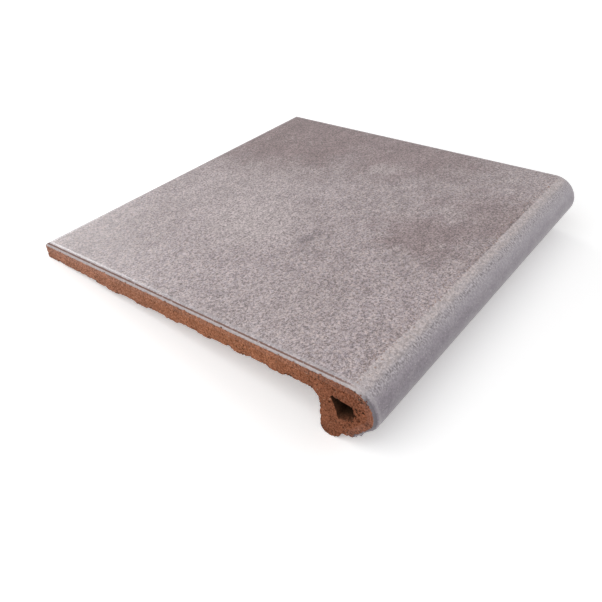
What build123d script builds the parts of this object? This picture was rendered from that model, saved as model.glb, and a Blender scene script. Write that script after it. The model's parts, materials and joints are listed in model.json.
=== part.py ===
# Stair tread tile, one piece of extruded clinker with a round hollow nose.
# Sizes are in millimetres. The tile lies as it rests unheld on a level floor, on the heel of
# its nose leg and on its back edge, with the nose towards -Y and the tread's top face up.

import os
from math import asin, atan2, cos, degrees, hypot, radians, sin, tan

from build123d import *

# The tread as a whole
tread_width = 330.0  # along the nose
tread_depth = 315.0  # from the front of the nose to the back face

# The slab
slab_thickness = 16.4  # between the ribs
back_strip_depth = 60.0  # the thinner strip along the back edge
back_strip_thickness = 15.1
back_edge_thickness = 13.3
strip_step_run = 2.0  # slope between slab and strip
strip_step_round = 1.0
back_foot_round = 1.2  # lower corner of the back edge

# The ribs under the slab, which key it into its mortar
rib_count = 6
rib_pitch = 32.0
rib_width = 15.0  # across the crest and both flanks
rib_height = 1.5
rib_flank_angle = 40.0  # between a flank and the underside
rib_round = 1.2
last_rib_setback = 80.0  # from the back face to the middle of the last rib

# The round nose
crown_radius = 20.0  # from the top face round to the front
nose_turn = 42.0  # how far the lower round turns before it runs straight to the lip
nose_height = 43.4  # from the top face to the drip lip
flank_drop = 11.3  # of the straight run above the lip
lip_face = 1.6  # the short upright face at the lip
lip_round = 1.2

# The drip groove and the leg behind it, which hooks over the step
groove_width = 11.2
groove_round = 1.6
toe_reach = 29.0  # from the front of the nose to the toe of the leg
toe_below_lip = 6.5
toe_round = 1.3
leg_reach = 41.8  # from the front of the nose to the leg's back wall
heel_below_lip = 7.6
heel_round = 7.0
root_round = 9.0  # where the back wall turns into the slab

# The hollow core of the nose
hollow_depth = 23.5  # from the top face to the middle of the hollow
hollow_front_height = 12.8
hollow_back_height = 16.0
hollow_roof_front = 17.8  # from the front of the nose
hollow_roof_width = 16.2
hollow_floor_front = 19.0
hollow_floor_width = 9.4
hollow_front_bulge = 1.9
hollow_back_bulge = 0.9
hollow_round = 1.2

# The bevel along the glazed edges
bevel_run = 2.0  # across the top face
bevel_drop = 2.3  # down the end and back faces

# The lower round of the nose fills what crown, flank and lip leave of the nose's height.
nose_radius = nose_height - lip_face - flank_drop - crown_radius
nose_radius /= sin(radians(nose_turn))

# The tilt at rest. The floor touches two rounds of the section: the heel of the leg and the
# foot of the back edge. It is the line that runs under both.
toe_drop = nose_height + toe_below_lip
heel_drop = nose_height + heel_below_lip
leg_slope = atan2(heel_drop - toe_drop, leg_reach - toe_reach)
heel_centre_reach = leg_reach - heel_round
heel_centre_height = -heel_drop + heel_round * (tan(leg_slope) + 1 / cos(leg_slope))
strip_taper = back_strip_thickness - back_edge_thickness
strip_slope = atan2(strip_taper, back_strip_depth - strip_step_run)
foot_centre_reach = tread_depth - back_foot_round
foot_centre_lift = back_foot_round * (1 / cos(strip_slope) - tan(strip_slope))
foot_centre_height = foot_centre_lift - back_edge_thickness
span = foot_centre_reach - heel_centre_reach
rise = foot_centre_height - heel_centre_height
tilt = atan2(rise, span) + asin((heel_round - back_foot_round) / hypot(span, rise))

# Where the section's own zero lies, so that the tile's box stands on the floor with its
# middle over the origin. The section is drawn from the front of the nose backwards and from
# the top face downwards.
front_at_rest = nose_radius * cos(tilt) - crown_radius * sin(tilt) - nose_radius
back_arris_at_rest = (tread_depth - bevel_run) * cos(tilt)
back_face_at_rest = tread_depth * cos(tilt) - bevel_drop * sin(tilt)
back_at_rest = max(back_arris_at_rest, back_face_at_rest)
heel_centre_at_rest = heel_centre_height * cos(tilt) - heel_centre_reach * sin(tilt)
lowest_at_rest = heel_centre_at_rest - heel_round
section_plane = Plane(
    origin=(0, -(front_at_rest + back_at_rest) / 2, -lowest_at_rest),
    x_dir=(0, cos(tilt), -sin(tilt)),
    z_dir=(1, 0, 0),
)

with BuildPart() as tread_tile:
    # The outline of slab, nose, lip, groove and leg
    with BuildSketch(section_plane) as outline:
        with BuildLine():
            top = Line((tread_depth - bevel_run, 0), (crown_radius, 0))
            crown = JernArc(top @ 1, top % 1, crown_radius, 90)
            nose = JernArc(crown @ 1, crown % 1, nose_radius, nose_turn)
            lip_reach = (nose @ 1).X + flank_drop * tan(radians(nose_turn))
            flank = Line(nose @ 1, (lip_reach, lip_face - nose_height))
            FilletPolyline(
                flank @ 1,
                (lip_reach, -nose_height),
                (lip_reach + groove_width, -nose_height),
                (toe_reach, -toe_drop),
                (leg_reach, -heel_drop),
                (leg_reach, -slab_thickness),
                (tread_depth - back_strip_depth, -slab_thickness),
                (tread_depth - back_strip_depth + strip_step_run, -back_strip_thickness),
                (tread_depth, -back_edge_thickness),
                (tread_depth, -bevel_drop),
                radius=[
                    lip_round,
                    groove_round,
                    toe_round,
                    heel_round,
                    root_round,
                    strip_step_round,
                    strip_step_round,
                    back_foot_round,
                ],
            )
            Line((tread_depth, -bevel_drop), top @ 0)
        make_face()
    extrude(amount=tread_width / 2, both=True)

    # The ribs, in a row from the back towards the nose
    with BuildSketch(section_plane) as ribs:
        for number in range(rib_count):
            rib_reach = tread_depth - last_rib_setback - number * rib_pitch
            with BuildLine():
                flank_run = rib_height / tan(radians(rib_flank_angle))
                half_root = rib_width / 2
                half_crest = half_root - flank_run
                crest = -slab_thickness - rib_height
                Polyline(
                    (rib_reach - half_root, -slab_thickness),
                    (rib_reach - half_crest, crest),
                    (rib_reach + half_crest, crest),
                    (rib_reach + half_root, -slab_thickness),
                    close=True,
                )
            make_face()
        fillet(ribs.vertices().group_by(Axis.Y)[0], radius=rib_round)
    extrude(amount=tread_width / 2, both=True)

    # The hollow core, open at both ends
    with BuildSketch(section_plane) as hollow:
        with BuildLine():
            roof = Line(
                (hollow_roof_front, hollow_front_height / 2 - hollow_depth),
                (hollow_roof_front + hollow_roof_width, hollow_back_height / 2 - hollow_depth),
            )
            floor = Line(
                (hollow_floor_front + hollow_floor_width, -hollow_back_height / 2 - hollow_depth),
                (hollow_floor_front, -hollow_front_height / 2 - hollow_depth),
            )
            SagittaArc(roof @ 1, floor @ 0, -hollow_back_bulge)
            SagittaArc(floor @ 1, roof @ 0, hollow_front_bulge)
        make_face()
        fillet(hollow.vertices(), radius=hollow_round)
    extrude(amount=tread_width / 2, both=True, mode=Mode.SUBTRACT)

    # The bevel on both ends, along the top face and round the nose as far as the lip
    for side in (-1, 1):
        end_plane = section_plane.offset(side * tread_width / 2)
        end_face = tread_tile.faces().filter_by(Axis.X).sort_by(Axis.X, reverse=side > 0)[0]
        glazed_edges = [
            end_face.edges().sort_by_distance(end_plane.from_local_coords(curve @ 0.5))[0]
            for curve in (top, crown, nose, flank)
        ]
        chamfer(glazed_edges, length=bevel_drop, length2=bevel_run, reference=end_face)

tread_tile.part.label = "tread_tile"
os.makedirs("parts", exist_ok=True)
export_step(tread_tile.part, "parts/tread_tile.step")

print(f"tilt at rest {degrees(tilt):.2f} degrees")
print(f"size {tread_tile.part.bounding_box().size}")
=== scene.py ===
# %% [markdown]
# # A stair tread tile of extruded clinker
# The real thing is one piece of stoneware: a flat slab with ribs below, and a round hollow nose
# with a leg that hooks over the step. The imported model gives its true size and place, so it is
# loaded first.

# %% Load the imported model
import json
from math import atan2, degrees, radians

import bmesh
import bpy
from mathutils import Matrix, Vector, noise
from mathutils.bvhtree import BVHTree


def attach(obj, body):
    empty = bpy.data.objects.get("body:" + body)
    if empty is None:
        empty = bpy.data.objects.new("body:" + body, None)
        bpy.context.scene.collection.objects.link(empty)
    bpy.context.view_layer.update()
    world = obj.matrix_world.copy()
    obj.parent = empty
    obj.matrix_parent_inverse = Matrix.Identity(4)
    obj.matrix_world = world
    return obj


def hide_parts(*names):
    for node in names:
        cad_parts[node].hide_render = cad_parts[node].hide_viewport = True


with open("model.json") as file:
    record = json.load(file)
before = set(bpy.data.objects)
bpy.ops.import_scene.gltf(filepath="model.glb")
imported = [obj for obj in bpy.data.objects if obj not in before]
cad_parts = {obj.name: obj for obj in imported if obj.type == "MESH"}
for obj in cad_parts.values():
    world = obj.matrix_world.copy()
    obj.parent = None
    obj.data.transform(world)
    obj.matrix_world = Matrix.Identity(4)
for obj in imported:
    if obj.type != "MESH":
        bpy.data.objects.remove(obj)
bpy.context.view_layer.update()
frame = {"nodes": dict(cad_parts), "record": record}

# %% [markdown]
# The tile rests tilted on its nose leg and its back edge. All shaping is simpler in the tile's
# own axes: x along the nose, y from the front of the nose backwards, z up from the flat face.
# The record says where the flat face is and how it faces, so the turn between both comes from
# there and from the solid's own front.

# %% The tile's own axes
MM = 0.001
tread = frame["nodes"]["tread_tile"]
face_mount = next(m for m in frame["record"]["mounts"] if m["name"] == "tread_face")
tilt = atan2(face_mount["axis"][1], face_mount["axis"][2])
level = Matrix.Rotation(tilt, 4, "X")
face_height = (level @ Vector(face_mount["pos_m"])).z
nose_front = min((level @ corner.co).y for corner in tread.data.vertices)
to_tile = Matrix.Translation((0, -nose_front, -face_height)) @ level
to_world = to_tile.inverted()
in_tile = [to_tile @ corner.co for corner in tread.data.vertices]
half_width = max(p.x for p in in_tile)
depth = max(p.y for p in in_tile)
print(f"tilt {degrees(tilt):.2f} degrees, half width {half_width:.4f}, depth {depth:.4f}")

# %% [markdown]
# The camera stands where the photograph was taken: left of the nose and above it, about half a
# metre off. Its place, its turn and its lens were solved from the straight edges of the tile.

# %% Camera
SENSOR = 36.0
camera_data = bpy.data.cameras.new("photo_view")
camera_data.sensor_width = SENSOR
camera_data.lens = 39.757
camera_data.shift_x = -0.0083
camera_data.shift_y = -0.0266
camera_data.clip_start = 0.01
camera = bpy.data.objects.new("photo_view", camera_data)
camera.location = (-0.39672, -0.26050, 0.33468)
camera.rotation_euler = (radians(51.014), radians(-3.230), radians(-52.754))
bpy.context.scene.collection.objects.link(camera)
bpy.context.scene.camera = camera
bpy.context.scene.view_settings.view_transform = "Standard"

# %% [markdown]
# ## The shape
# A wire cut both ends of the extruded clay, so they are rough, with torn pits and chipped lower
# edges, while the glazed faces are smooth and roll over softly at the ends. Only geometry shows
# that at the outline. The piece starts from a merged copy of the solid's mesh, whose flat faces
# are dissolved, so that the arrises are clean edges to round.

# %% A copy of the solid, level and merged
FACET = radians(0.1)
MERGE = 1e-6
tile = bmesh.new()
tile.from_mesh(tread.data)
bmesh.ops.transform(tile, matrix=to_tile, verts=tile.verts)
bmesh.ops.remove_doubles(tile, verts=tile.verts, dist=MERGE)
bmesh.ops.dissolve_limit(tile, angle_limit=FACET, verts=tile.verts, edges=tile.edges)
print("merged copy", len(tile.verts), "corners,", len(tile.faces), "faces")

# %% [markdown]
# Three skins are kept aside for measuring: the glazed one, over the flat face and round the
# nose as far as the lip, the wall of the hollow, and the raw one, which is all the rest along
# the length. How far a point lies from each of them steers the chips here and the glaze in the
# material.

# %% The three skins
LEAN = 0.01  # how far the normal of a lengthwise face may lean along x
BELOW_FACE = -1.0 * MM
LIP_REACH = 15 * MM
HOLLOW_FRONT, HOLLOW_BACK = 14 * MM, 37 * MM
HOLLOW_FLOOR, HOLLOW_ROOF = -33 * MM, -14 * MM


def is_lengthwise(face):
    """Whether a face runs along the tile, not across one of its ends."""
    return abs(face.normal.x) < LEAN


def is_glazed(face):
    """Whether a lengthwise face is part of the glazed skin."""
    middle = face.calc_center_median()
    return middle.z > BELOW_FACE or middle.y < LIP_REACH


def is_hollow(face):
    """Whether a lengthwise face is part of the hollow's wall."""
    middle = face.calc_center_median()
    return HOLLOW_FRONT < middle.y < HOLLOW_BACK and HOLLOW_FLOOR < middle.z < HOLLOW_ROOF


def skin_of(faces):
    """A search tree over some faces of the tile."""
    corners, rows = [], []
    for face in faces:
        rows.append(list(range(len(corners), len(corners) + len(face.verts))))
        corners += [corner.co.copy() for corner in face.verts]
    return BVHTree.FromPolygons(corners, rows)


lengthwise = [face for face in tile.faces if is_lengthwise(face)]
glazed_skin = skin_of([face for face in lengthwise if is_glazed(face)])
hollow_skin = skin_of([face for face in lengthwise if is_hollow(face)])
raw_skin = skin_of([face for face in lengthwise if not is_glazed(face) and not is_hollow(face)])


def under(skin, place):
    """How far a place lies from a skin within its own cross-section, in metres."""
    return skin.find_nearest(Vector((0, place.y, place.z)))[3]


print("lengthwise faces", len(lengthwise))

# %% [markdown]
# The glaze rolls over at the arrises with a radius of about a millimetre, which catches a thin
# bright line of light. A bevel of a few segments on just those edges makes it.

# %% Round the glazed arrises
ARRIS_ROUND = 2.4 * MM
ARRIS_SEGMENTS = 4
FLATTEST, SHARPEST = 30, 70  # degrees between the faces of such an arris
ON_SKIN = 0.2 * MM


def is_arris(edge):
    """Whether an edge is the sharp one between the glazed skin and the sloping band."""
    if len(edge.link_faces) != 2:
        return False
    flat = [face for face in edge.link_faces if is_lengthwise(face) and is_glazed(face)]
    turns = FLATTEST < degrees(edge.calc_face_angle(0)) < SHARPEST
    return len(flat) > 0 and turns and under(glazed_skin, edge.verts[0].co) < ON_SKIN


arrises = [edge for edge in tile.edges if is_arris(edge)]
bmesh.ops.bevel(
    tile, geom=arrises, offset=ARRIS_ROUND, offset_type="OFFSET", segments=ARRIS_SEGMENTS,
    profile=0.5, affect="EDGES", material=-1, clamp_overlap=True,
)
print("rounded", len(arrises), "edges, now", len(tile.faces), "faces")

# %% [markdown]
# Torn clay needs small faces to move, but only at the ends. Planes cut the whole tile into
# strips a few millimetres wide, and the last few millimetres at each end into a grid finer than
# a millimetre. Neighbours share the corners that a cut adds, so the skin stays closed.

# %% Cut the tile into a grid
COARSE = 6 * MM
FINE = 0.6 * MM
END_ROWS = 8
CUT_SNAP = 1e-7
end_zone = half_width - END_ROWS * FINE


def cut_across(faces, axis, stops):
    """Cut faces by a plane across an axis at each stop, going upwards, and return all of them."""
    across = Vector([1 if index == axis else 0 for index in range(3)])
    starts = [(min(corner.co[axis] for corner in face.verts), face) for face in faces]
    waiting = [face for _, face in sorted(starts, key=lambda start: start[0], reverse=True)]
    starts = sorted((start for start, _ in starts), reverse=True)
    done, ahead = [], []
    for stop in stops:
        while waiting and starts[-1] < stop:
            ahead.append(waiting.pop())
            starts.pop()
        parts = dict.fromkeys(ahead)
        for face in ahead:
            parts.update(dict.fromkeys(face.edges))
            parts.update(dict.fromkeys(face.verts))
        cut = bmesh.ops.bisect_plane(
            tile, geom=list(parts), dist=CUT_SNAP, plane_co=across * stop, plane_no=across,
        )
        split = [part for part in cut["geom"] if isinstance(part, bmesh.types.BMFace)]
        done += [face for face in split if face.calc_center_median()[axis] < stop]
        ahead = [face for face in split if face.calc_center_median()[axis] >= stop]
    return done + ahead + waiting


def stops_between(low, high, step):
    """Evenly spaced stops inside a range."""
    count = int((high - low) / step)
    return [low + (high - low) * (number + 1) / (count + 1) for number in range(count)]


near_stops = [-half_width + row * FINE for row in range(1, END_ROWS + 1)]
middle_stops = stops_between(-end_zone, end_zone, COARSE)
far_stops = [end_zone + row * FINE for row in range(END_ROWS)]
cut_across(tile.faces, 0, near_stops + middle_stops + far_stops)
lowest = min(corner.co.z for corner in tile.verts)
end_faces = [f for f in tile.faces if abs(f.calc_center_median().x) > end_zone]
end_faces = cut_across(end_faces, 1, stops_between(0, depth, FINE))
cut_across(end_faces, 2, stops_between(lowest, 0, FINE))
middle = [f for f in tile.faces if abs(f.calc_center_median().x) < end_zone]
cut_across(middle, 1, stops_between(0, depth, COARSE))
print("after the cuts", len(tile.verts), "corners,", len(tile.faces), "faces")

# %% [markdown]
# Every corner now gets three numbers that the material reads too: how deep it lies under the
# glazed skin, how far in it lies from the nearest cut end or the back, and later how much painted
# shade its clay gets in a pit, a chip or the hollow. They are measured before anything moves.

# %% Measure every corner
to_glaze = tile.verts.layers.float.new("glaze_depth")
to_edge = tile.verts.layers.float.new("edge_inset")
# How dark the clay is painted as shade, in pits, chips, broken edges and the hollow.
pit_shade = tile.verts.layers.float.new("pit_shade")
for corner in tile.verts:
    place = corner.co
    corner[to_glaze] = under(glazed_skin, place) / MM
    corner[to_edge] = min(half_width - abs(place.x), depth - place.y) / MM
print("deepest under the glaze, mm", max(corner[to_glaze] for corner in tile.verts))

# %% [markdown]
# ## The rough ends
# The wire leaves a face that waves gently and is gritty all over. Noise in the tile's own axes
# gives both, and comes out the same at each run. The part of the noise is chosen by its last
# number, so that two patterns don't fall together.

# %% Waves and grit
WAVE, WAVE_SIZE = 0.16 * MM, 9 * MM
GRIT, GRIT_SIZE = 0.12 * MM, 1.3 * MM


def swell(place, size, part=0.0):
    """Smooth noise from -1 to 1 whose lumps are about a given size in metres."""
    return noise.noise(place / size + Vector((part, part, part)))


def share(distance, reach):
    """From 1 at no distance down to 0 at a reach."""
    return min(1.0, max(0.0, 1.0 - distance / reach))


def wave_at(place):
    """How far the waves and the grit lie behind the end's plane."""
    wave = WAVE * (0.5 + 0.5 * swell(place, WAVE_SIZE))
    return wave + GRIT * (0.5 + 0.5 * swell(place, GRIT_SIZE))


print(f"waves and grit lie up to {(WAVE + GRIT) / MM:.2f} mm behind the end's plane")

# %% [markdown]
# Grog and pores tear out as small pits. Chance scatters most of them: space is split into cells,
# a few of the cells hold a pit, and each has its own size. The larger ones at the near end, most
# of them where the core tore the clay round the hollow, have places of their own.

# %% Pits
PIT_DEPTH = 0.9 * MM
PIT_SPACING = 2.2 * MM
PIT_FLATNESS = 0.8
PIT_SHARE, PIT_SHARE_SWING, CROWD_SIZE = 0.08, 0.26, 24 * MM
PIT_RADIUS, PIT_RADIUS_SWING = 0.12, 0.12  # as shares of the spacing
TORN_ROUGHNESS, TORN_GRAIN, TORN_STEEPNESS = 0.6, 1.0 * MM, 1.5
# Torn spots, each as depth behind the nose, drop under the flat face and reach, in millimetres.
TORN = [
    (15.0, -17.9, 1.6), (14.6, -20.0, 1.4), (15.8, -23.8, 1.7), (12.5, -17.6, 1.3),
    (12.8, -21.0, 1.4), (10.3, -17.5, 1.2), (9.4, -18.3, 1.4), (12.6, -26.3, 1.2),
    (8.1, -26.6, 1.3), (17.6, -29.0, 1.4), (19.7, -33.5, 1.4), (13.0, -7.2, 1.2),
    (11.4, -8.2, 1.3), (11.0, -9.8, 1.3), (34.5, -21.7, 1.3), (38.3, -35.7, 1.2),
    (33.8, -36.4, 1.1), (30.6, -10.0, 1.2), (23.7, -8.6, 1.1),
]


def pit_at(place):
    """How much of a scattered pit there is at a place on a cut end, from 0 to 1."""
    stretched = Vector((place.x, place.y * PIT_FLATNESS, place.z)) / PIT_SPACING
    distances, points = noise.voronoi(stretched)
    crowd = PIT_SHARE + PIT_SHARE_SWING * swell(place, CROWD_SIZE, 5.0)
    if noise.cell(points[0] * 7.3) > crowd:
        return 0.0
    chance = noise.cell(points[0] * 3.1 + Vector((9, 9, 9)))
    return share(distances[0], PIT_RADIUS + PIT_RADIUS_SWING * chance)


def gap_to(place, depth_behind, drop):
    """How far a place lies from a spot of the section, in millimetres."""
    return ((place.y / MM - depth_behind) ** 2 + (place.z / MM - drop) ** 2) ** 0.5


def torn_at(place):
    """How much a torn spot takes away at a place on the near end, from 0 to 1."""
    if place.x > 0:
        return 0.0
    rough = 1.0 + TORN_ROUGHNESS * swell(place, TORN_GRAIN, 2.0)
    deepest = max(share(gap_to(place, *spot) * rough, reach) for *spot, reach in TORN)
    return min(1.0, TORN_STEEPNESS * deepest)


print(len(TORN), "torn spots have places of their own")

# %% [markdown]
# The raw lower edges and the rim of the hollow break away in chips, and the foot of the glaze in
# small ones. At both ends the flank above the lip and the lip itself broke off further, upwards
# and backwards, which bares clay where the section alone would show glaze.

# %% Chips and broken edges
CHIP, CHIP_REACH, CHIP_START = 1.3 * MM, 2.4 * MM, 2.5 * MM
RIM_CHIP, RIM_REACH = 1.1 * MM, 0.6 * CHIP_REACH
NIBBLE, NIBBLE_REACH, NIBBLE_DEPTH = 0.7 * MM, 1.1 * MM, 2.3 * MM
BROKEN = [(8, -36, 7.0, 1.5), (15, -43, 8.0, 4.5)]  # depth, drop, reach and size in millimetres
BREAK_WAY = Vector((0, 0.5, 0.87))
BREAK_MOST = 2.6  # millimetres
BREAK_INSET, BREAK_UNDER_GLAZE = 4.6 * MM, 4 * MM
WIDE_LUMP, FINE_LUMP = 3.6 * MM, 2.1 * MM


def chip_shift(place, inset, glaze):
    """How deep the chips are along the lower edges, the hollow's rim and the glaze's foot."""
    wide = swell(place, WIDE_LUMP, 3.0) + 0.9 * swell(place, 1.2 * MM, 8.0)
    fine = swell(place, FINE_LUMP, 13.0) + 0.4 * swell(place, 1.0 * MM, 21.0)
    lower = share(max(inset, under(raw_skin, place)), CHIP_REACH) if glaze > CHIP_START else 0.0
    rim = share(max(inset, under(hollow_skin, place)), RIM_REACH)
    foot = share(max(inset, abs(glaze - NIBBLE_DEPTH)), NIBBLE_REACH)
    chips = (
        (CHIP, lower * max(0.0, wide)), (RIM_CHIP, rim * max(0.0, fine)),
        (NIBBLE, foot * max(0.0, fine - 0.15)),
    )
    return max(size * amount for size, amount in chips), max(amount for _, amount in chips)


def broken_at(place, inset, glaze):
    """How far the flank and the lip broke away at a place near an end, in millimetres."""
    lost = max(size * share(gap_to(place, *spot), reach) for *spot, reach, size in BROKEN)
    uneven = max(0.0, 0.95 + 0.5 * swell(place, WIDE_LUMP, 3.0))
    near_end = share(inset, BREAK_INSET) ** 0.5
    return min(BREAK_MOST, lost * uneven * near_end) * share(glaze, BREAK_UNDER_GLAZE)


print("chips up to", CHIP / MM, "mm, broken edges up to", BREAK_MOST, "mm")

# %% [markdown]
# Now the corners move. Waves and pits go straight in from the end, chips go in across the
# surface, and broken edges move their own way. Each corner keeps how much painted shade its
# clay gets: pits, chips and broken edges are painted dark as shade. The hollow's wall is painted
# in shade too, paler only near its mouth and on a painted pool of light on its floor, where light
# falls in.

# %% Move the corners
ROUGH_REACH = 4.9 * MM
END_FACE = 0.3 * MM
GLAZE_FOOT, FOOT_SOFTNESS = 2.8 * MM, 1.2 * MM
ON_WALL = 0.1 * MM
# Painted shade in the hollow, lighter near its mouth and in a painted pool of light on its floor.
MOUTH, MOUTH_PAINTED_LIGHT = 9 * MM, 0.12
LIT_SPOT, LIT_REACH, LIT_PALENESS = (20, -31), 13.0, 0.28  # spot and reach in millimetres
# How dark chips and broken edges are painted, as painted shade.
CHIP_PAINTED_SHADE, BROKEN_PAINTED_SHADE = 1.8, 0.4


def end_shift(place, inset, glaze):
    """How far a corner of a cut end moves in, and how much of a pit it is, for its painted shade.
    """
    clay_share = share(GLAZE_FOOT - glaze, FOOT_SOFTNESS) * share(inset, END_FACE)
    hole = max(pit_at(place), torn_at(place)) * clay_share
    return clay_share * wave_at(place) + PIT_DEPTH * hole, hole


def hollow_painted_shade(place, inset):
    """How much painted shade darkens the hollow's wall at a place, from 0 to 1."""
    lit = share(gap_to(place, *LIT_SPOT), LIT_REACH)
    return 1.0 - share(inset, MOUTH) * (MOUTH_PAINTED_LIGHT + LIT_PALENESS * lit)


tile.normal_update()
moves = {}
for corner in tile.verts:
    place = corner.co.copy()
    inset = half_width - abs(place.x)
    glaze = corner[to_glaze] * MM
    # The hollow's wall gets painted shade, with painted light near its mouth and on its floor.
    if under(hollow_skin, place) < ON_WALL:
        corner[pit_shade] = hollow_painted_shade(place, inset)
    if inset > ROUGH_REACH:
        continue
    inward = Vector((-1 if place.x > 0 else 1, 0, 0))
    sunk, hole = end_shift(place, inset, glaze)
    chipped, amount = chip_shift(place, inset, glaze)
    broken = broken_at(place, inset, glaze)
    # Painted shade: chips and broken edges are darkened.
    chip_shade = min(1.0, max(CHIP_PAINTED_SHADE * amount, BROKEN_PAINTED_SHADE * broken))
    corner[pit_shade] = max(corner[pit_shade], hole, chip_shade)
    moves[corner] = inward * sunk - corner.normal * chipped + BREAK_WAY * broken * MM
for corner, shift in moves.items():
    corner.co += shift
print("moved", len(moves), "corners, at most", max(shift.length for shift in moves.values()))

# %% [markdown]
# The mesh goes back to where the tile rests and becomes one object. Faces well away from the
# glaze take the bare clay, the others the glazed finish, which turns to the same clay where the
# glaze ends. Edges between flats and rounds keep their normals by weight, so flats stay flat.

# %% Make the object
CLAY_ONLY = 7.0  # millimetres under the glaze
GLAZED, BARE = 0, 1
for face in tile.faces:
    face.smooth = True
    shallowest = min(corner[to_glaze] for corner in face.verts)
    face.material_index = BARE if shallowest > CLAY_ONLY else GLAZED
bmesh.ops.transform(tile, matrix=to_world, verts=tile.verts)
tread_mesh = bpy.data.meshes.new("tread_body")
tile.to_mesh(tread_mesh)
tile.free()
tread_body = bpy.data.objects.new("tread_body", tread_mesh)
bpy.context.scene.collection.objects.link(tread_body)
tread_mesh.set_sharp_from_angle(angle=radians(50))
weighted = tread_body.modifiers.new("flat faces stay flat", "WEIGHTED_NORMAL")
weighted.keep_sharp = True
tread_mesh.calc_loop_triangles()
print("tread body", len(tread_mesh.loop_triangles), "triangles")

# %% [markdown]
# ## The finish
# Patterns on both materials are read in the tile's own axes and in millimetres, so that a noise
# of scale 1 has lumps of about a millimetre. Most steps are a value turned into another range,
# or a colour mixed by a value, and a few helpers keep them to a line each.

# %% Helpers for nodes
def put(tree, kind, **settings):
    """Add a node and set its plain settings."""
    node = tree.nodes.new(kind)
    for name, value in settings.items():
        setattr(node, name, value)
    return node


def plug(tree, socket, value):
    """Link an output to a socket, or set the socket to a plain value."""
    if isinstance(value, bpy.types.NodeSocket):
        tree.links.new(value, socket)
    else:
        socket.default_value = value


def feed(tree, node, **values):
    """Plug values into a node's inputs, by name with _ for a space."""
    for name, value in values.items():
        plug(tree, node.inputs[name.replace("_", " ")], value)
    return node


def maths(tree, operation, first, second=0.0):
    """A Math node on links or numbers, and its result."""
    node = put(tree, "ShaderNodeMath", operation=operation)
    plug(tree, node.inputs[0], first)
    plug(tree, node.inputs[1], second)
    return node.outputs[0]


def product(tree, first, *others):
    """The product of several links or numbers."""
    for other in others:
        first = maths(tree, "MULTIPLY", first, other)
    return first


def ramp(tree, value, low, high, to_low=0.0, to_high=1.0):
    """Turn a range of values smoothly into another range."""
    node = put(tree, "ShaderNodeMapRange", interpolation_type="SMOOTHSTEP")
    feed(tree, node, Value=value, From_Min=low, From_Max=high, To_Min=to_low, To_Max=to_high)
    return node.outputs["Result"]


def parts_of(tree, place):
    """The X, Y and Z of a place."""
    return feed(tree, put(tree, "ShaderNodeSeparateXYZ"), Vector=place).outputs


print("helpers for numbers are ready")

# %% [markdown]
# Two kinds of pattern are enough. Grain is soft noise, stretched where a pattern runs along the
# nose. Crystals are small cells that each have a value of their own, as salt and pepper. Colours
# are mixed by such a pattern, or tinted, which is multiplied by a colour around white.

# %% Helpers for patterns and colours
def grain(tree, place, size, detail=2.0, rough=0.5, stretch=(1, 1, 1), part=0.0):
    """Noise from about 0.2 to 0.8 whose lumps are so many millimetres, longer where stretched."""
    spread = put(tree, "ShaderNodeMapping")
    scale = [1 / (size * along) for along in stretch]
    feed(tree, spread, Vector=place, Scale=scale, Location=(part, part, part))
    node = put(tree, "ShaderNodeTexNoise")
    feed(tree, node, Vector=spread.outputs[0], Scale=1.0, Detail=detail, Roughness=rough)
    return node.outputs["Fac"]


def crystals(tree, place, size):
    """A random value from 0 to 1 for each small grain of about so many millimetres."""
    node = put(tree, "ShaderNodeTexVoronoi")
    feed(tree, node, Vector=place, Scale=1 / size)
    parts = feed(tree, put(tree, "ShaderNodeSeparateColor"), Color=node.outputs["Color"])
    return parts.outputs["Red"]


def blend(tree, share, first, second, kind="MIX"):
    """Mix two colours by a share."""
    node = put(tree, "ShaderNodeMix", data_type="RGBA", blend_type=kind)
    plug(tree, node.inputs[0], share)
    for socket, color in zip(node.inputs[6:8], (first, second)):
        plug(tree, socket, color if isinstance(color, bpy.types.NodeSocket) else (*color, 1.0))
    return node.outputs[2]


def tint(tree, color, amount, low, high):
    """Multiply a colour by one that lies between two others."""
    return blend(tree, 1.0, color, blend(tree, amount, low, high), "MULTIPLY")


def blend_values(tree, share, first, second):
    """Mix two values by a share."""
    node = put(tree, "ShaderNodeMix")
    for socket, value in zip(node.inputs[:1] + node.inputs[2:4], (share, first, second)):
        plug(tree, socket, value)
    return node.outputs[0]


def new_group(name, inputs, outputs):
    """An empty node group with named sockets, and its two end nodes."""
    tree = bpy.data.node_groups.new(name, "ShaderNodeTree")
    for title, kind in inputs:
        tree.interface.new_socket(title, in_out="INPUT", socket_type=kind)
    for title, kind in outputs:
        tree.interface.new_socket(title, in_out="OUTPUT", socket_type=kind)
    return tree, put(tree, "NodeGroupInput").outputs, put(tree, "NodeGroupOutput")


VECTOR, COLOR, FLOAT = "NodeSocketVector", "NodeSocketColor", "NodeSocketFloat"
FINISH = [("Color", COLOR), ("Roughness", FLOAT), ("Height", FLOAT)]
print("a finish puts out", [title for title, _ in FINISH])

# %% [markdown]
# Fired clay is terracotta with lighter and darker grog, dark pores and a few pale flecks. Near
# the nose it is redder, and darker partly as painted shade. Pits, chips and the hollow's wall are
# painted near black as shade. The group gives colour, roughness and a height, so the glazed
# material can show exactly the same clay where its glaze ends.

# %% The fired clay
# Darker at the nose partly as painted shade; redder there as the clay's own colour.
CLAY_AT_NOSE = (0.252, 0.091, 0.048)
CLAY_OF_SLAB = (0.375, 0.151, 0.079)
CLAY_AT_BACK = (0.432, 0.202, 0.132)
CLAY_MOTTLE = (0.88, 0.87, 0.86), (1.13, 1.13, 1.13)
CLAY_GRIT = (0.60, 0.54, 0.50), (1.36, 1.40, 1.44)
PALE_GROG = (0.60, 0.44, 0.32)
# The dark of fine pores, and the painted shade of pits, chips and the hollow's wall.
PORE_AND_SHADE_DARK = (0.033, 0.018, 0.009)


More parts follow.
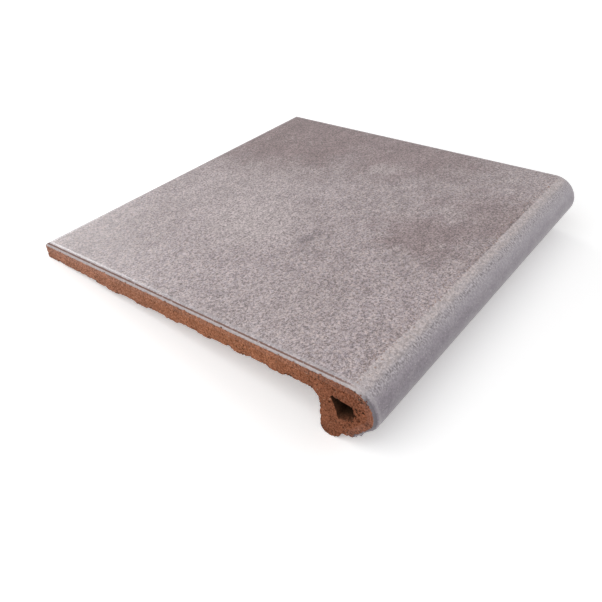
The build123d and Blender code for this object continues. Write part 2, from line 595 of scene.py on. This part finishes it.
def make_clay():
    """Colour, roughness and height of the bare clay."""
    tree, given, result = new_group("fired clay", [("Place", VECTOR), ("Pit", FLOAT)], FINISH)
    place, pit_shade_here = given["Place"], given["Pit"]
    behind_nose = parts_of(tree, place)["Y"]
    # Redder and darker towards the nose, the darkness partly painted shade.
    color = blend(tree, ramp(tree, behind_nose, 10.0, 105.0), CLAY_AT_NOSE, CLAY_OF_SLAB)
    color = blend(tree, ramp(tree, behind_nose, 110.0, 330.0), color, CLAY_AT_BACK)
    mottle = ramp(tree, grain(tree, place, 8.0, 6.0, 0.65), 0.36, 0.64)
    grit = ramp(tree, grain(tree, place, 1.3, 3.0, 0.7), 0.34, 0.66)
    color = tint(tree, tint(tree, color, mottle, *CLAY_MOTTLE), grit, *CLAY_GRIT)
    flecks = ramp(tree, grain(tree, place, 1.5, 1.0, 0.5, part=57.0), 0.70, 0.74)
    color = blend(tree, product(tree, flecks, 0.5), color, PALE_GROG)

    crowd = ramp(tree, grain(tree, place, 14.0, part=7.0), 0.40, 0.62, -0.05, 0.02)
    crowd = maths(tree, "ADD", crowd, product(tree, pit_shade_here, 0.12))
    holes = maths(tree, "ADD", grain(tree, place, 1.4, 2.0, 0.6, part=31.0), crowd)
    pores = ramp(tree, holes, 0.600, 0.650)
    # Painted shade: pits, chips and the hollow's wall go near black.
    torn = ramp(tree, pit_shade_here, 0.55, 1.0, 0.0, 0.95)
    color = blend(tree, maths(tree, "MAXIMUM", product(tree, pores, 0.75), torn), color, PORE_AND_SHADE_DARK)
    height = maths(tree, "SUBTRACT", product(tree, grit, 0.4), pores)
    rough = ramp(tree, grit, 0.0, 1.0, 0.95, 0.82)
    feed(tree, result, Color=color, Roughness=rough, Height=height)
    return tree


clay_group = make_clay()
print("clay group", len(clay_group.nodes), "nodes")

# %% [markdown]
# The flat face has a printed, warm grey glaze. Soft clouds run along the extrusion, and the far
# back corner and the right side fired darker and browner. There are a few stains, paler spots
# and thin pale veins. Each spot is a soft disc whose edge a strong noise tears up.

# %% The printed grey of the flat face
ALONG_NOSE = (1.5, 1, 1)
PRINT_COOL, PRINT_WARM = (0.356, 0.306, 0.322), (0.388, 0.316, 0.304)
PRINT_DARK, PRINT_STAIN = (0.236, 0.172, 0.170), (0.190, 0.155, 0.165)
PRINT_PALE, PRINT_VEIN = (0.460, 0.395, 0.395), (0.50, 0.44, 0.43)
PRINT_MOTTLE = (0.88, 0.87, 0.88), (1.11, 1.12, 1.12)
PRINT_CLOUDS = (0.93, 0.92, 0.92), (1.05, 1.05, 1.06)
# Spots, each as middle, outer reach and inner reach in millimetres, and strength.
DARK_SPOTS = [
    ((137, 290, 0), 150, 65, 1.0), ((180, 175, 0), 145, 60, 0.85),
    ((10, 66, 0), 55, 15, 0.75), ((62, 34, 0), 60, 15, 0.65),
]
STAINS = [
    ((-51, 143, 0), 7, 2, 0.55), ((-44, 140, 0), 8, 2, 0.7), ((-36, 137, 0), 7, 2, 0.5),
    ((-139, 145, 0), 7, 2, 0.5), ((-88, 120, 0), 7, 2, 0.4), ((-62, 128, 0), 6, 2, 0.4),
]
PALE_SPOTS = [
    ((92, 156, 0), 20, 2, 0.55), ((36, 262, 0), 22, 2, 0.4), ((52, 62, 0), 18, 2, 0.45),
    ((22, 96, 0), 20, 2, 0.35), ((-5, 240, 0), 95, 20, 0.35), ((-45, 195, 0), 62, 12, 0.75),
    ((-145, 100, 0), 70, 20, 0.22),
]


def patches(tree, place, waver, spots):
    """Soft spots with mottled edges, as a share."""
    total = 0.0
    for middle, outer, inner, strength in spots:
        far = put(tree, "ShaderNodeVectorMath", operation="DISTANCE")
        plug(tree, far.inputs[0], place)
        plug(tree, far.inputs[1], middle)
        reached = maths(tree, "ADD", far.outputs["Value"], waver)
        total = maths(tree, "MAXIMUM", total, ramp(tree, reached, outer, inner, 0.0, strength))
    return total


def waver_of(tree, place, size, detail, width):
    """Noise around zero that makes a line or an edge wander, as wide as given in millimetres."""
    noise_here = grain(tree, place, size, detail, 0.7)
    return product(tree, maths(tree, "SUBTRACT", noise_here, 0.5), width)


def veins_of(tree, place):
    """Thin lines where a noise crosses its middle, in some places only, as a share."""
    level = maths(tree, "SUBTRACT", grain(tree, place, 24.0, 5.0, 0.62, part=37.0), 0.5)
    lines = ramp(tree, maths(tree, "ABSOLUTE", level), 0.010, 0.003)
    places = ramp(tree, grain(tree, place, 40.0, 2.0, part=49.0), 0.52, 0.60)
    return product(tree, lines, places, 0.45)


def print_colour(tree, place, hue):
    """The printed grey of the flat face."""
    dark = patches(tree, place, waver_of(tree, place, 26.0, 8.0, 150.0), DARK_SPOTS)
    color = blend(tree, dark, blend(tree, hue, PRINT_COOL, PRINT_WARM), PRINT_DARK)
    mottle = ramp(tree, grain(tree, place, 11.0, 8.0, 0.74, ALONG_NOSE, 29.0), 0.38, 0.62)
    clouds = ramp(tree, grain(tree, place, 60.0, 6.0, 0.65, ALONG_NOSE), 0.38, 0.62)
    color = tint(tree, tint(tree, color, mottle, *PRINT_MOTTLE), clouds, *PRINT_CLOUDS)
    stains = patches(tree, place, waver_of(tree, place, 5.0, 4.0, 18.0), STAINS)
    color = blend(tree, stains, color, PRINT_STAIN)
    pale = patches(tree, place, waver_of(tree, place, 8.0, 7.0, 60.0), PALE_SPOTS)
    return blend(tree, veins_of(tree, place), blend(tree, pale, color, PRINT_PALE), PRINT_VEIN)


print(len(DARK_SPOTS), "dark,", len(PALE_SPOTS), "pale spots and", len(STAINS), "stains")

# %% [markdown]
# Over all of the glaze lies a fine grain of pale and dark specks, as salt leaves it. Round the
# nose the grain is drawn out into streaks. A few specks are rust, where the print ends, a few
# are bright, and a few are dark dots.

# %% The specks in the glaze
GRAIN_TINTS = (0.50, 0.48, 0.475), (1.50, 1.52, 1.525)
SMOOTH_TINTS = (0.84, 0.83, 0.84), (1.16, 1.16, 1.16)
RUST, SPARK, DOT = (0.30, 0.155, 0.085), (0.62, 0.58, 0.59), (0.08, 0.05, 0.045)
LARGE_DOT = [((-145.7, 177.6, 0), 1.6, 0.7, 1.0)]


def salt_of(tree, place):
    """The fine grain of pale and dark specks: two soft noises with crystals on top."""
    coarse = grain(tree, place, 1.9, 2.0, 0.6, part=11.0)
    soft = maths(tree, "ADD", grain(tree, place, 0.85, 1.0, 0.5, part=3.0), coarse)
    soft = product(tree, ramp(tree, soft, 0.82, 1.18), 0.65)
    both = maths(tree, "ADD", soft, product(tree, crystals(tree, place, 1.3), 0.78))
    return maths(tree, "SUBTRACT", both, 0.21)


def add_specks(tree, place, round_nose, color):
    """Rust where the print ends, bright sparks and dark dots."""
    rust = ramp(tree, grain(tree, place, 1.6, 2.0, 0.6, part=19.0), 0.60, 0.67)
    from_front = ramp(tree, round_nose, 12.0, 16.5)
    to_face = ramp(tree, round_nose, 28.0, 18.0, 0.0, 0.8)
    color = blend(tree, product(tree, rust, from_front, to_face), color, RUST)
    sparks = ramp(tree, grain(tree, place, 1.0, 1.0, 0.5, part=41.0), 0.66, 0.74)
    color = blend(tree, product(tree, sparks, 0.5), color, SPARK)
    dots = ramp(tree, grain(tree, place, 1.3, 1.0, 0.5, part=77.0), 0.755, 0.78)
    dots = maths(tree, "MAXIMUM", dots, patches(tree, place, 0.0, LARGE_DOT))
    return blend(tree, product(tree, dots, 0.75), color, DOT)


print("specks are tinted from", GRAIN_TINTS[0], "to", GRAIN_TINTS[1])

# %% [markdown]
# The printed grey stops where the nose begins: there is a pale, calm strip, then a sugary grain,
# and further round the glaze turns to a smooth, darker purple grey. How far round the nose a
# point lies is simply y + z, which falls steadily from the flat face to the lip. Wandering edges
# keep the borders between these zones from being straight.

# %% The glaze
STRIP = (0.490, 0.435, 0.445), (0.520, 0.447, 0.437)
SUGAR = (0.355, 0.318, 0.342), (0.390, 0.348, 0.362)
SMOOTH = (0.240, 0.205, 0.238), (0.285, 0.250, 0.280)
WHITE = (1.0, 1.0, 1.0)


def make_glaze():
    """Colour, roughness and height of the glaze."""
    tree, given, result = new_group("speckled glaze", [("Place", VECTOR)], FINISH)
    place = given["Place"]
    along = parts_of(tree, place)
    round_nose = maths(tree, "ADD", along["Y"], along["Z"])
    combed = put(tree, "ShaderNodeCombineXYZ")
    feed(tree, combed, X=along["X"], Y=product(tree, round_nose, 0.42))
    combed = combed.outputs[0]

    frayed = maths(tree, "ADD", round_nose, waver_of(tree, place, 3.0, 4.0, 4.0))
    shortened = maths(tree, "ADD", frayed, ramp(tree, along["X"], -150.0, -60.0, -2.2, 0.3))
    printed = ramp(tree, shortened, 15.4, 16.6)
    sugared = ramp(tree, frayed, 10.5, 4.0)
    calm = product(tree, ramp(tree, shortened, 16.6, 15.4), ramp(tree, frayed, 4.0, 10.5))
    smeared = maths(tree, "ADD", round_nose, waver_of(tree, combed, 1.6, 4.0, 20.0))
    front = ramp(tree, smeared, 6.0, -8.0)

    hue = ramp(tree, grain(tree, place, 2.8, 4.0, 0.7, part=13.0), 0.36, 0.64)
    mottle = ramp(tree, grain(tree, place, 9.0, 6.0, 0.7, ALONG_NOSE, 17.0), 0.38, 0.62)
    nose = blend(tree, front, blend(tree, hue, *SUGAR), blend(tree, mottle, *SMOOTH))
    nose = blend(tree, sugared, blend(tree, hue, *STRIP), nose)
    color = blend(tree, printed, nose, print_colour(tree, place, hue))

    salt = salt_of(tree, place)
    streaks = ramp(tree, grain(tree, combed, 1.2, 2.0, 0.6, part=8.0), 0.35, 0.65)
    salt_here = blend_values(tree, sugared, salt, streaks)
    strong = blend(tree, salt_here, *GRAIN_TINTS)
    strong = blend(tree, product(tree, calm, 0.45), strong, WHITE)
    color = tint(tree, color, front, strong, blend(tree, salt, *SMOOTH_TINTS))
    color = add_specks(tree, place, round_nose, color)

    gloss = ramp(tree, front, 0.0, 1.0, 0.40, 0.34)
    rough = maths(tree, "ADD", gloss, product(tree, salt, 0.08))
    height = product(tree, salt_here, ramp(tree, front, 0.0, 1.0, 1.0, 0.4))
    feed(tree, result, Color=color, Roughness=rough, Height=height)
    return tree


glaze_group = make_glaze()
print("glaze group", len(glaze_group.nodes), "nodes")

# %% [markdown]
# At the cut ends the glaze runs over the arris and down the sloping band. Its foot is ragged,
# just inside the arris a thin brown line shows where it drew back from the sharp turn, and
# beside that line, where the arris rounds off, it is glossier and painted paler as a painted
# highlight. The measured distances say where each of these lies.

# %% Where the glaze ends
EDGE = [
    ("Clay", FLOAT), ("Drawn back", FLOAT), ("Roll", FLOAT), ("Band", FLOAT), ("Upper", FLOAT),
]


def make_edge():
    """What the glaze does at the ends, as shares, from the measured distances."""
    inputs = [("Place", VECTOR), ("Depth", FLOAT), ("Inset", FLOAT), ("Pit", FLOAT)]
    tree, given, result = new_group("glaze edge", inputs, EDGE)
    place, depth_here, inset_here = given["Place"], given["Depth"], given["Inset"]
    foot = maths(tree, "ADD", depth_here, waver_of(tree, place, 1.6, 3.0, 2.6))
    pitted = product(
        tree, ramp(tree, given["Pit"], 0.35, 0.6), ramp(tree, depth_here, 1.0, 1.5),
    )
    clay = maths(tree, "MAXIMUM", ramp(tree, foot, 2.45, 2.85), pitted)

    across = maths(tree, "SUBTRACT", depth_here, inset_here)
    across = maths(tree, "ADD", across, waver_of(tree, place, 2.5, 3.0, 0.9))
    along = parts_of(tree, place)
    round_nose = maths(tree, "ADD", along["Y"], along["Z"])
    ragged = ramp(tree, grain(tree, place, 5.0, 3.0, 0.6, part=23.0), 0.30, 0.42)
    line = product(tree, ramp(tree, across, -1.9, -1.4), ramp(tree, across, 0.2, -0.3))
    line = product(tree, line, ramp(tree, round_nose, 8.0, 30.0), ragged)
    # Where the arris rounds off: glossier, and painted paler there as a painted highlight.
    roll = product(tree, ramp(tree, inset_here, 4.9, 3.9), ramp(tree, inset_here, 2.0, 2.6))
    band = ramp(tree, depth_here, 0.6, 1.1)
    upper = ramp(tree, round_nose, 0.0, 14.0)
    feed(tree, result, Clay=clay, Drawn_back=line, Roll=roll, Band=band, Upper=upper)
    return tree


edge_group = make_edge()
print("edge group", len(edge_group.nodes), "nodes")

# %% [markdown]
# Both materials use the groups with the same place, so the clay runs on without a seam. A
# Mapping node turns the place into the tile's axes, with the same tilt and shift as above. The
# shader itself stays in the material, with its constant values on its own sockets.

# %% The bare clay
RELIEF = 0.35 * MM
CLAY_SHINE = 0.1


def begin_material(name):
    """A material with an empty tree, its shader, and the place in the tile's axes."""
    material = bpy.data.materials.new(name)
    material.use_nodes = True
    tree = material.node_tree
    tree.nodes.clear()
    shader = put(tree, "ShaderNodeBsdfPrincipled")
    output = put(tree, "ShaderNodeOutputMaterial")
    tree.links.new(shader.outputs[0], output.inputs[0])
    where = put(tree, "ShaderNodeTexCoord").outputs["Object"]
    turn = put(tree, "ShaderNodeMapping")
    shift, scale = to_tile.translation / MM, (1 / MM,) * 3
    feed(tree, turn, Vector=where, Location=shift, Rotation=(tilt, 0, 0), Scale=scale)
    return material, tree, shader, turn.outputs[0]


def measured(tree, layer):
    """A number that was measured for every corner."""
    return put(tree, "ShaderNodeAttribute", attribute_name=layer).outputs["Fac"]


def use_group(tree, group, **values):
    """A group placed in a tree with its inputs fed."""
    node = put(tree, "ShaderNodeGroup", node_tree=group)
    return feed(tree, node, **values).outputs


def raise_surface(tree, height):
    """The normal of a surface raised by a height."""
    node = put(tree, "ShaderNodeBump")
    feed(tree, node, Height=height, Distance=RELIEF, Strength=1.0)
    return node.outputs["Normal"]


def make_bare_clay():
    """The finish of the underside, the hollow and the deeper part of the ends."""
    material, tree, shader, place = begin_material("bare_clay")
    clay = use_group(tree, clay_group, Place=place, Pit=measured(tree, "pit_shade"))
    normal = raise_surface(tree, clay["Height"])
    feed(tree, shader, Base_Color=clay["Color"], Roughness=clay["Roughness"], Normal=normal)
    shader.inputs["Specular IOR Level"].default_value = CLAY_SHINE
    return material


bare_clay = make_bare_clay()
print("made", bare_clay.name)

# %% [markdown]
# The glazed finish is laid down in the order in which it lies on the tile: the glaze, paler on
# the band below the arris and with a painted highlight where the arris rounds off, then the brown
# line, and the bare clay where the glaze ends. The same shares steer colour, gloss and height.

# %% The glazed clinker
BAND_ON_NOSE, BAND_ON_SLAB = (0.125, 0.112, 0.125), (0.500, 0.450, 0.450)
# Painted highlight on the rounded arris.
ROLL_PAINTED_HIGHLIGHT = (0.500, 0.460, 0.480)
LINE_BROWN = (0.150, 0.066, 0.044)
GLAZE_THICKNESS = 0.6  # as a share of the relief


def make_glazed():
    """The finish of the flat face, the nose and the rims of the ends."""
    material, tree, shader, place = begin_material("glazed_clinker")
    pit_shade_here = measured(tree, "pit_shade")
    clay = use_group(tree, clay_group, Place=place, Pit=pit_shade_here)
    glaze = use_group(tree, glaze_group, Place=place)
    depth_here, inset_here = measured(tree, "glaze_depth"), measured(tree, "edge_inset")
    edge = use_group(
        tree, edge_group, Place=place, Depth=depth_here, Inset=inset_here, Pit=pit_shade_here,
    )
    band = blend(tree, edge["Upper"], BAND_ON_NOSE, BAND_ON_SLAB)
    color = blend(tree, product(tree, edge["Band"], 0.7), glaze["Color"], band)
    # Painted highlight where the arris rounds off.
    color = blend(tree, product(tree, edge["Roll"], 0.5), color, ROLL_PAINTED_HIGHLIGHT)
    color = blend(tree, product(tree, edge["Drawn back"], 0.95), color, LINE_BROWN)
    color = blend(tree, edge["Clay"], color, clay["Color"])
    rough = maths(tree, "SUBTRACT", glaze["Roughness"], product(tree, edge["Roll"], 0.2))
    rough = blend_values(tree, edge["Clay"], rough, clay["Roughness"])
    height = product(tree, glaze["Height"], ramp(tree, edge["Roll"], 0.0, 1.0, 0.12, 0.02))
    height = maths(tree, "ADD", height, GLAZE_THICKNESS)
    height = blend_values(tree, edge["Clay"], height, clay["Height"])
    normal = raise_surface(tree, height)
    feed(tree, shader, Base_Color=color, Roughness=rough, Normal=normal)
    return material


tread_mesh.materials.append(make_glazed())
tread_mesh.materials.append(bare_clay)
print("materials", [material.name for material in tread_mesh.materials])

# %% [markdown]
# ## The studio
# The tile lies on a plain pale floor. It takes the tile's soft shadow, and the camera still sees
# it as white: it glows a little for the camera alone, and more so further out, where the shadow
# has ended. From below it isn't seen at all, so the underside can be looked at.

# %% Floor
FLOOR_GREY, FLOOR_WHITE = (0.80, 0.80, 0.80), (0.98, 0.98, 0.98)
GLOW_NEAR, GLOW_FAR = 0.30, 1.0
GLOW_FROM, GLOW_TO = 0.35, 1.0  # metres from the middle


def seen_by_camera(tree):
    """Whether a surface is seen directly, in a reflection or through glass."""
    path = put(tree, "ShaderNodeLightPath")
    seen = maths(tree, "MAXIMUM", path.outputs["Is Camera Ray"], path.outputs["Is Glossy Ray"])
    return maths(tree, "MAXIMUM", seen, path.outputs["Is Transmission Ray"])


def make_floor():
    """A wide plain floor, which the camera sees as white paper, and not at all from below."""
    plane = bmesh.new()
    bmesh.ops.create_grid(plane, x_segments=1, y_segments=1, size=3.0)
    mesh = bpy.data.meshes.new("floor")
    plane.to_mesh(mesh)
    plane.free()
    material = bpy.data.materials.new("pale_floor")
    material.use_nodes = True
    tree = material.node_tree
    shader = tree.nodes["Principled BSDF"]
    seen = seen_by_camera(tree)
    color = blend(tree, seen, FLOOR_GREY, FLOOR_WHITE)
    feed(tree, shader, Base_Color=color, Roughness=0.9, Emission_Color=(1, 1, 1, 1))
    where = put(tree, "ShaderNodeTexCoord").outputs["Object"]
    reach = put(tree, "ShaderNodeVectorMath", operation="LENGTH")
    plug(tree, reach.inputs[0], where)
    glow = ramp(tree, reach.outputs["Value"], GLOW_FROM, GLOW_TO, GLOW_NEAR, GLOW_FAR)
    feed(tree, shader, Emission_Strength=product(tree, seen, glow))
    below = put(tree, "ShaderNodeNewGeometry").outputs["Backfacing"]
    feed(tree, shader, Alpha=maths(tree, "SUBTRACT", 1.0, below))
    shader.inputs["Specular IOR Level"].default_value = 0.0
    mesh.materials.append(material)
    return bpy.data.objects.new("floor", mesh)


floor = make_floor()
bpy.context.scene.collection.objects.link(floor)
print("floor", tuple(floor.dimensions))

# %% [markdown]
# Three soft square lamps light the tile: the widest above and to the left, one low behind it,
# which draws the bright line along the arris, and a weaker one at the front right for the nose.
# An even white world fills in.

# %% Lamps and world
AIM = Vector((0, 0, 0.02))
FILL = 0.38


def make_lamp(name, place, size, power):
    """A square soft lamp at a place, facing the tile."""
    data = bpy.data.lights.new(name, "AREA")
    data.shape = "SQUARE"
    data.size = size
    data.energy = power
    lamp = bpy.data.objects.new(name, data)
    lamp.location = place
    lamp.rotation_euler = (AIM - Vector(place)).to_track_quat("-Z", "Y").to_euler()
    bpy.context.scene.collection.objects.link(lamp)


def make_world(strength):
    """Even white light, and plain white for the camera."""
    world = bpy.data.worlds.new("studio")
    world.use_nodes = True
    tree = world.node_tree
    level_now = put(tree, "ShaderNodeMapRange")
    feed(tree, level_now, Value=seen_by_camera(tree), To_Min=strength, To_Max=1.0)
    background = tree.nodes["Background"]
    feed(tree, background, Color=(1, 1, 1, 1), Strength=level_now.outputs["Result"])
    bpy.context.scene.world = world


make_lamp("left", (-0.75, 0.1, 0.85), 1.0, 6.8)
make_lamp("back", (0.3, 1.3, 0.55), 0.55, 4.8)
make_lamp("right_front", (0.8, -0.85, 0.45), 0.8, 3.1)
make_world(FILL)
print("lamps", [lamp.name for lamp in bpy.data.lights])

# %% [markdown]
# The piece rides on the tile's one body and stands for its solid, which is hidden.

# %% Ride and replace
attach(tread_body, "root")
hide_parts("tread_tile")
bpy.context.view_layer.update()
